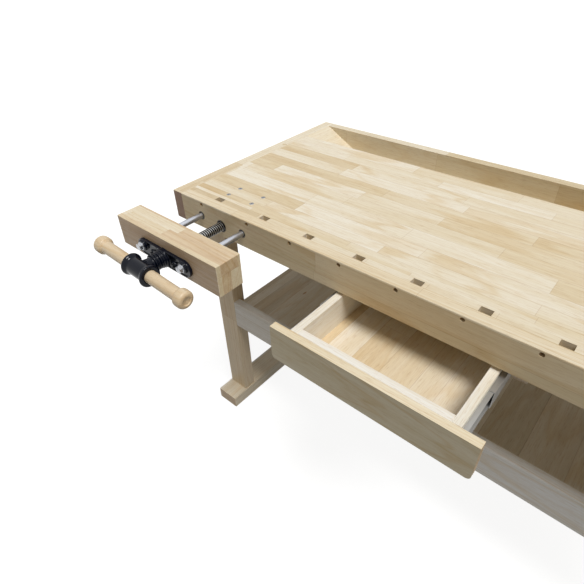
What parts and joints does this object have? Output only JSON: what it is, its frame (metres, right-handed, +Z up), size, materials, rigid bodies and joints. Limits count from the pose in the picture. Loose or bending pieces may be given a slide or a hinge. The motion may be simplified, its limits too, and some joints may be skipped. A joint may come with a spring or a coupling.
{
  "type": "woodworking bench",
  "caption": "Woodworking bench with a dog-hole edge, front and end screw vises, a tool tray, a drawer on slides and a shelf between two trestles.",
  "frame": {"origin": "on the floor, at the bottom centre of the bench's overall box as it stands at rest", "axes": "+Z up, +X along the bench towards the end vise, +Y from the user's side towards the tray"},
  "size_m": [1.692, 0.955, 0.85],
  "materials": {
    "top_wood": "pale laminated hardwood, satin oil",
    "edge_wood": "tan laminated hardwood, satin oil",
    "tray_wood": "pale hardwood, satin",
    "frame_wood": "sanded hardwood, satin",
    "shelf_wood": "sanded hardwood boards",
    "drawer_front_wood": "sanded hardwood board",
    "drawer_wood": "pale unfinished boards",
    "handle_wood": "turned beech, oiled",
    "black_casting": "gloss black enamel",
    "polished_steel": "ground bright",
    "zinc_steel": "bright zinc plate",
    "black_steel": "black oxide",
    "slide_steel": "zinc plated sheet"
  },
  "bodies": {
    "bench": {"top_panel": "top_wood", "apron_front_lamination": "edge_wood", "dog_hole_blocks": "edge_wood", "apron_rear_lamination": "edge_wood", "end_cap_left": "top_wood", "end_cap_right": "top_wood", "cap_plugs": "top_wood", "tray_rail": "tray_wood", "tray_floor": "tray_wood", "back_board": "tray_wood", "tray_ramp_left": "tray_wood", "tray_ramp_right": "tray_wood", "foot_left": "frame_wood", "foot_right": "frame_wood", "leg_front_left": "frame_wood", "leg_rear_left": "frame_wood", "leg_front_right": "frame_wood", "leg_rear_right": "frame_wood", "bearer_left": "frame_wood", "bearer_right": "frame_wood", "stretcher_front": "frame_wood", "stretcher_rear": "frame_wood", "stretcher_bolts": "zinc_steel", "barrel_nuts": "zinc_steel", "shelf_boards": "shelf_wood", "shelf_cleats": "shelf_wood", "drawer_hanger_left": "frame_wood", "drawer_hanger_right": "frame_wood", "slide_outer_members": "slide_steel", "front_nut_bracket": "black_casting", "front_mount_screws": "black_steel", "end_nut_bracket": "black_casting", "end_mount_screws": "black_steel"},
    "drawer": {"drawer_front": "drawer_front_wood", "drawer_inner_front": "drawer_wood", "drawer_side_left": "drawer_wood", "drawer_side_right": "drawer_wood", "drawer_back": "drawer_wood", "drawer_bottom": "drawer_wood", "slide_inner_members": "slide_steel"},
    "slide_middles": {"slide_middle_members": "slide_steel"},
    "front_jaw_carriage": {"front_jaw": "edge_wood", "front_jaw_plate": "black_casting", "front_plate_bolts": "zinc_steel", "front_guide_rods": "polished_steel"},
    "front_screw_and_hub": {"front_screw": "black_steel", "front_hub": "black_casting", "front_thrust_collar": "zinc_steel"},
    "front_handle": {"front_handle_bar": "handle_wood", "front_handle_knobs": "handle_wood"},
    "end_jaw_carriage": {"end_jaw": "edge_wood", "end_jaw_plate": "black_casting", "end_plate_bolts": "zinc_steel", "end_guide_rods": "polished_steel"},
    "end_screw_and_hub": {"end_screw": "black_steel", "end_hub": "black_casting", "end_thrust_collar": "zinc_steel"},
    "end_handle": {"end_handle_bar": "handle_wood", "end_handle_knobs": "handle_wood"}
  },
  "joints": [
    {"name": "drawer_slide", "type": "slide", "parent": "bench", "child": "drawer", "axis": [0, -1, 0], "range_m": [-0.2225, 0.2175]},
    {"name": "slide_middle_travel", "type": "slide", "parent": "bench", "child": "slide_middles", "axis": [0, -1, 0], "range_m": [-0.11175, 0.10925]},
    {"name": "front_jaw_slide", "type": "slide", "parent": "bench", "child": "front_jaw_carriage", "axis": [0, -1, 0], "range_m": [-0.1065, 0.073]},
    {"name": "front_screw_turn", "type": "hinge", "parent": "front_jaw_carriage", "child": "front_screw_and_hub", "pos_m": [-0.6595, -0.4505, 0.802], "axis": [0, -1, 0], "range_deg": [-7667, 5255]},
    {"name": "front_handle_slide", "type": "slide", "parent": "front_screw_and_hub", "child": "front_handle", "axis": [0.9986, 0, -0.0523], "range_m": [-0.096, 0.096]},
    {"name": "end_jaw_slide", "type": "slide", "parent": "bench", "child": "end_jaw_carriage", "axis": [1, 0, 0], "range_m": [-0.0235, 0.116]},
    {"name": "end_screw_turn", "type": "hinge", "parent": "end_jaw_carriage", "child": "end_screw_and_hub", "pos_m": [0.819, -0.016, 0.802], "axis": [1, 0, 0], "range_deg": [-1691, 8351]},
    {"name": "end_handle_slide", "type": "slide", "parent": "end_screw_and_hub", "child": "end_handle", "axis": [0, 0.9925, -0.1219], "range_m": [-0.096, 0.096]}
  ],
  "couplings": [
    {"joint": "slide_middle_travel", "follows": "drawer_slide", "ratio": 0.5},
    {"joint": "front_jaw_slide", "follows": "front_screw_turn", "m_per_rad": 0.00079577},
    {"joint": "end_jaw_slide", "follows": "end_screw_turn", "m_per_rad": 0.00079577}
  ]
}
